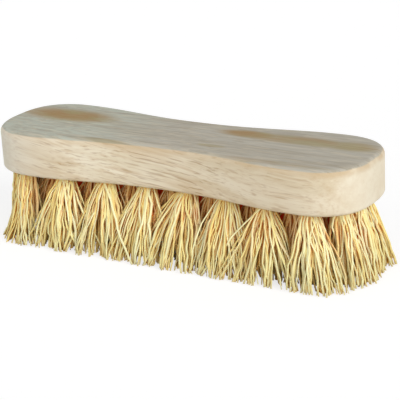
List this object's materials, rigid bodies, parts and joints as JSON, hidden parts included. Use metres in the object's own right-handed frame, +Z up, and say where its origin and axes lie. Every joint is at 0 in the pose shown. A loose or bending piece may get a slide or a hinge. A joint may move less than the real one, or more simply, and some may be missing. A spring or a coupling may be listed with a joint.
{
  "type": "scrub brush",
  "caption": "Wooden scrub brush: a waisted hardwood block with rounded edges and tufts of stiff wavy root fibre set in blind holes on its underside.",
  "frame": {"origin": "on the surface that the trimmed fibre tips rest on, under the middle of the block", "axes": "+X along the length of the block, +Y across it, +Z up from the fibre tips to the top face of the block"},
  "size_m": [0.1824, 0.0601, 0.0505],
  "materials": {
    "hardwood": "sanded, unvarnished",
    "root_fibre": "dry wavy plant fibre",
    "anchor_wire": "galvanised wire"
  },
  "bodies": {
    "root": {"block": "hardwood", "wire_anchors": "anchor_wire", "tuft_a1": "root_fibre", "tuft_a2": "root_fibre", "tuft_a3": "root_fibre", "tuft_a4": "root_fibre", "tuft_a5": "root_fibre", "tuft_a6": "root_fibre", "tuft_a7": "root_fibre", "tuft_a8": "root_fibre", "tuft_b1": "root_fibre", "tuft_b2": "root_fibre", "tuft_b3": "root_fibre", "tuft_b4": "root_fibre", "tuft_b5": "root_fibre", "tuft_b6": "root_fibre", "tuft_b7": "root_fibre", "tuft_b8": "root_fibre", "tuft_b9": "root_fibre", "tuft_c1": "root_fibre", "tuft_c2": "root_fibre", "tuft_c3": "root_fibre", "tuft_c4": "root_fibre", "tuft_c5": "root_fibre", "tuft_c6": "root_fibre", "tuft_c7": "root_fibre", "tuft_c8": "root_fibre", "tuft_c9": "root_fibre", "tuft_c10": "root_fibre", "tuft_d1": "root_fibre", "tuft_d2": "root_fibre", "tuft_d3": "root_fibre", "tuft_d4": "root_fibre", "tuft_d5": "root_fibre", "tuft_d6": "root_fibre", "tuft_d7": "root_fibre", "tuft_d8": "root_fibre", "tuft_d9": "root_fibre", "tuft_e1": "root_fibre", "tuft_e2": "root_fibre", "tuft_e3": "root_fibre", "tuft_e4": "root_fibre", "tuft_e5": "root_fibre", "tuft_e6": "root_fibre", "tuft_e7": "root_fibre", "tuft_e8": "root_fibre"}
  },
  "joints": []
}
